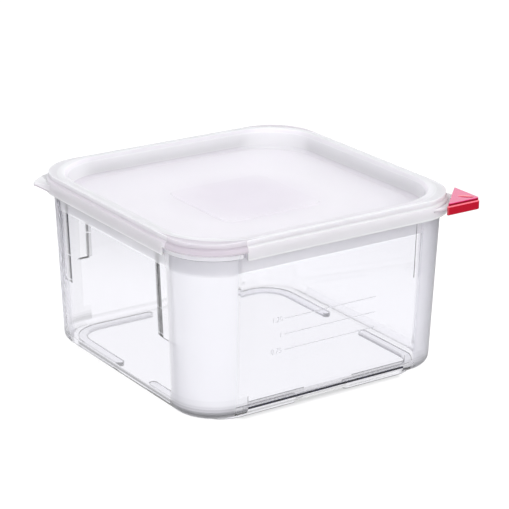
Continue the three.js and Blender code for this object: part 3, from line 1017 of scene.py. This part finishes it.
def milkyPlastic():
    # milky and translucent, with painted shade that makes the thin panel a little greyer than the doubled
    # rim
    material, tree, nodes, link, shader = newMaterial("milky_plastic")
    place = nodes.new("ShaderNodeTexCoord").outputs["Object"]
    x, y, z = splitPlace(tree, place)
    panelTop = lidHigh.z - lid["recessDepth"] * mm
    high = fade(tree, z, panelTop, panelTop + lid["recessDepth"] / 2 * mm, 0.0, 1.0)
    cloud = nodes.new("ShaderNodeTexNoise")
    setSockets(cloud, {"Scale": milky["cloudScale"], "Detail": milky["cloudDetail"]})
    link(place, cloud.inputs["Vector"])
    deep = milky["cloudDepth"]
    patches = fade(tree, cloud.outputs["Fac"], milky["cloudFrom"], milky["cloudTo"], -deep, deep)
    high = calc(tree, "ADD", high, patches)
    # painted shade: the panel is darker towards its middle
    start, stop = milky["middleStart"] * mm, milky["middleEnd"] * mm
    out = fade(tree, hypot(tree, x, y), start, stop, 0.0, 1.0)
    panel = blend(tree, out, milky["paintedMiddleShadeColor"], milky["paintedPanelShadeColor"])
    color = blend(tree, high, panel, milky["color"])
    # painted highlights make thin edges paler, and below nothing painted shade makes a place greyer
    edge = faceShade(tree)
    color = blend(tree, edge, color, milky["paintedHighlightColor"])
    color = blend(tree, calc(tree, "MULTIPLY", edge, -1.0), color, milky["paintedShadeColor"])
    link(color, shader.inputs["Base Color"])
    setSockets(shader, {
        "Specular IOR Level": milky["specular"], "Roughness": milky["roughness"], "IOR": milky["ior"],
        "Transmission Weight": milky["transmission"], "Subsurface Weight": milky["scatter"],
        "Subsurface Radius": milky["scatterRadius"], "Subsurface Scale": milky["scatterDepth"] * mm,
    })
    grain(tree, shader, milky["grain"])
    return material


red = {
    "paintedTones": ((0.0, (0.16, 0.0, 0.005)), (0.25, (0.42, 0.0, 0.016)), (0.5, (0.70, 0.014, 0.17)),
              (1.0, (0.92, 0.16, 0.22))),
    "roughness": 0.18, "ior": 1.5, "coat": 1.0, "coatRoughness": 0.06, "grain": (700.0, 0.05, 0.0003),
}


def redPlastic():
    # glossy red, with painted shade darkening the step and the underside and painted highlights paling the
    # top, the chamfer and the rib
    material, tree, nodes, link, shader = newMaterial("red_plastic")
    ramp = nodes.new("ShaderNodeValToRGB")
    stops = ramp.color_ramp.elements
    while len(stops) < len(red["paintedTones"]):
        stops.new(0.5)
    for stop, (place, color) in zip(stops, red["paintedTones"]):
        stop.position = place
        stop.color = (*color, 1.0)
    link(faceShade(tree), ramp.inputs["Fac"])
    link(ramp.outputs["Color"], shader.inputs["Base Color"])
    setSockets(shader, {"Roughness": red["roughness"], "IOR": red["ior"], "Coat Weight": red["coat"],
                        "Coat Roughness": red["coatRoughness"]})
    grain(tree, shader, red["grain"])
    return material


def markPlastic():
    material = newMaterial("raised_mark")[0]
    setSockets(material.node_tree.nodes["Principled BSDF"], {
        "Base Color": (*marks["color"], 1.0), "Roughness": marks["roughness"],
        "Transmission Weight": marks["transmission"],
    })
    return material


# pieces on their bodies

container = makeBox((clearPlastic(),))
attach(container, "container")
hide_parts("container")

cover = makeLid((milkyPlastic(),))
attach(cover, "lid")
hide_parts("lid")

tag = makeClip((redPlastic(),))
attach(tag, "clip")
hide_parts("corner_clip")

for piece in makeMarks(markPlastic()):
    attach(piece, "container")


# camera, floor and light

view = {
    "azimuth": -33.9, "elevation": 19.6, "roll": -0.3, "distance": 1166.9, "lens": 144.6, "sensor": 36.0,
    "nearest": 10.0, "target": (5.6, -2.0, 59.2),
}


def addCamera():
    a, e, r = (math.radians(view[key]) for key in ("azimuth", "elevation", "roll"))
    back = Vector((math.sin(a) * math.cos(e), -math.cos(a) * math.cos(e), math.sin(e)))
    right = Vector((math.cos(a), math.sin(a), 0.0))
    up = back.cross(right)
    right, up = right * math.cos(r) - up * math.sin(r), right * math.sin(r) + up * math.cos(r)
    data = bpy.data.cameras.new("camera")
    data.sensor_width = view["sensor"]
    data.lens = view["lens"]
    data.clip_start = view["nearest"] * mm
    camera = bpy.data.objects.new("camera", data)
    place = Matrix((right, up, back)).transposed().to_4x4()
    place.translation = Vector(view["target"]) * mm + back * view["distance"] * mm
    camera.matrix_world = place
    scene.collection.objects.link(camera)
    scene.camera = camera


stage = {
    "floorSize": 12.0, "floorDrop": 0.2, "floorColor": (0.16, 0.16, 0.16),
    "glow": 0.92, "paintedShadowGlow": 0.55, "cornerLight": 16.0, "sideLight": 6.0,
    "ambient": (0.95, 0.95, 1.0), "ambientLow": 0.70, "ambientHigh": 1.32,
    "ambientFrom": (-0.2, -0.75, 0.63), "ambientSoft": 0.8, "sweep": 1.12,
    "brightHalf": 180.0, "darkHalf": 330.0, "brightFront": 500.0, "darkFront": 900.0, "dark": 0.06,
    "aheadSoft": 0.3, "highFrom": 0.45, "highTo": 0.8, "highLight": 0.5,
}


def viewAxes():
    # the camera's level directions: to its right and away from it
    a = math.radians(view["azimuth"])
    return (math.cos(a), math.sin(a), 0.0), (-math.sin(a), math.cos(a), 0.0)


def rayKinds(tree):
    # what the camera sees itself, and what it sees off or through the plastic
    path = tree.nodes.new("ShaderNodeLightPath")
    bent = calc(tree, "MAXIMUM", path.outputs["Is Glossy Ray"], path.outputs["Is Transmission Ray"])
    # light that has already been scattered gathers from the plain studio
    direct = calc(tree, "LESS_THAN", path.outputs["Diffuse Depth"], 1)
    return path.outputs["Is Camera Ray"], calc(tree, "MULTIPLY", bent, direct)


def addFloor():
    half = stage["floorSize"] / 2
    low = -stage["floorDrop"] * mm
    square = [(-signX * half, -signY * half, low) for signX, signY in cornerSigns]
    floor = makeObject("floor", square, [(0, 1, 2, 3)])
    material, tree, nodes, link, shader = newMaterial("white_floor")
    nodes.remove(shader)
    paint = nodes.new("ShaderNodeBsdfDiffuse")
    paint.inputs["Color"].default_value = (*stage["floorColor"], 1.0)
    glow = nodes.new("ShaderNodeEmission")
    place = nodes.new("ShaderNodeTexCoord").outputs["Object"]
    # painted shadow: under the box the floor glows less, with its round corners and its sides left bright
    sideX, sideY = (calc(tree, "ABSOLUTE", along) for along in splitPlace(tree, place)[:2])
    cornerCut = baseHalf - ((2 - math.sqrt(2)) * box["baseCorner"] + stage["cornerLight"]) * mm
    across = calc(tree, "SUBTRACT", calc(tree, "ADD", sideX, sideY), cornerCut)
    sideX = calc(tree, "ADD", sideX, stage["sideLight"] * mm)
    reach = calc(tree, "MAXIMUM", calc(tree, "MAXIMUM", sideX, sideY), across)
    shaded = stage["glow"] * stage["paintedShadowGlow"]
    shadeStart = baseHalf - feet["insetX"] * mm
    link(fade(tree, reach, shadeStart, baseHalf, shaded, stage["glow"]), glow.inputs["Strength"])
    lit = nodes.new("ShaderNodeAddShader")
    link(paint.outputs["BSDF"], lit.inputs[0])
    link(glow.outputs["Emission"], lit.inputs[1])
    # through and off the plastic the sweep is white behind the box and falls off to the sides and the front
    right, away = viewAxes()
    aside = calc(tree, "ABSOLUTE", dot(tree, place, right))
    aside = fade(tree, aside, stage["brightHalf"] * mm, stage["darkHalf"] * mm, 1.0, stage["dark"])
    start, stop = -stage["darkFront"] * mm, -stage["brightFront"] * mm
    ahead = fade(tree, dot(tree, place, away), start, stop, stage["dark"], 1.0)
    sweep = nodes.new("ShaderNodeEmission")
    bright = calc(tree, "MULTIPLY", calc(tree, "MULTIPLY", aside, ahead), stage["sweep"])
    link(bright, sweep.inputs["Strength"])
    bent = rayKinds(tree)[1]
    surface = mixShaders(tree, bent, lit.outputs["Shader"], sweep.outputs["Emission"])
    link(surface, nodes["Material Output"].inputs["Surface"])
    floor.data.materials.append(material)


def addWorld():
    world = bpy.data.worlds.new("studio")
    world.use_nodes = True
    tree = world.node_tree
    nodes, link = tree.nodes, tree.links.new
    light = nodes["Background"]
    light.inputs["Color"].default_value = (*stage["ambient"], 1.0)
    away = viewAxes()[1]
    toward = nodes.new("ShaderNodeTexCoord").outputs["Generated"]
    front = dot(tree, toward, stage["ambientFrom"])
    soft = stage["ambientSoft"]
    strength = fade(tree, front, -soft, soft, stage["ambientLow"], stage["ambientHigh"])
    link(strength, light.inputs["Strength"])
    # the sweep as the plastic shows it: darker towards the camera and overhead
    soft = stage["aheadSoft"]
    ahead = fade(tree, dot(tree, toward, away), -soft, soft, stage["dark"], 1.0)
    up = dot(tree, toward, (0.0, 0.0, 1.0))
    high = fade(tree, up, stage["highFrom"], stage["highTo"], 1.0, stage["highLight"])
    seen, bent = rayKinds(tree)
    sweep = nodes.new("ShaderNodeBackground")
    bright = calc(tree, "MULTIPLY", calc(tree, "MULTIPLY", ahead, high), stage["sweep"])
    link(calc(tree, "MAXIMUM", seen, bright), sweep.inputs["Strength"])
    shown = calc(tree, "MAXIMUM", seen, bent)
    surface = mixShaders(tree, shown, light.outputs["Background"], sweep.outputs["Background"])
    link(surface, nodes["World Output"].inputs["Surface"])
    scene.world = world


lamps = (
    {"name": "front", "place": (0.0, -1.4, 0.9), "size": 0.9, "power": 5.0, "color": (1.0, 0.99, 0.98)},
    {"name": "above", "place": (0.1, 0.3, 1.6), "size": 1.2, "power": 2.0, "color": (1.0, 1.0, 1.0)},
)
lampTarget = Vector((0.0, 0.0, 0.06))


def addLamps():
    for lamp in lamps:
        data = bpy.data.lights.new(lamp["name"], "AREA")
        data.energy = lamp["power"]
        data.size = lamp["size"]
        data.color = lamp["color"]
        light = bpy.data.objects.new(lamp["name"], data)
        light.location = lamp["place"]
        toBox = lampTarget - Vector(lamp["place"])
        light.rotation_euler = toBox.to_track_quat("-Z", "Y").to_euler()
        scene.collection.objects.link(light)


addCamera()
addFloor()
addWorld()
addLamps()
scene.view_settings.view_transform = "Standard"
print("stage set:", len(lamps), "lamps")
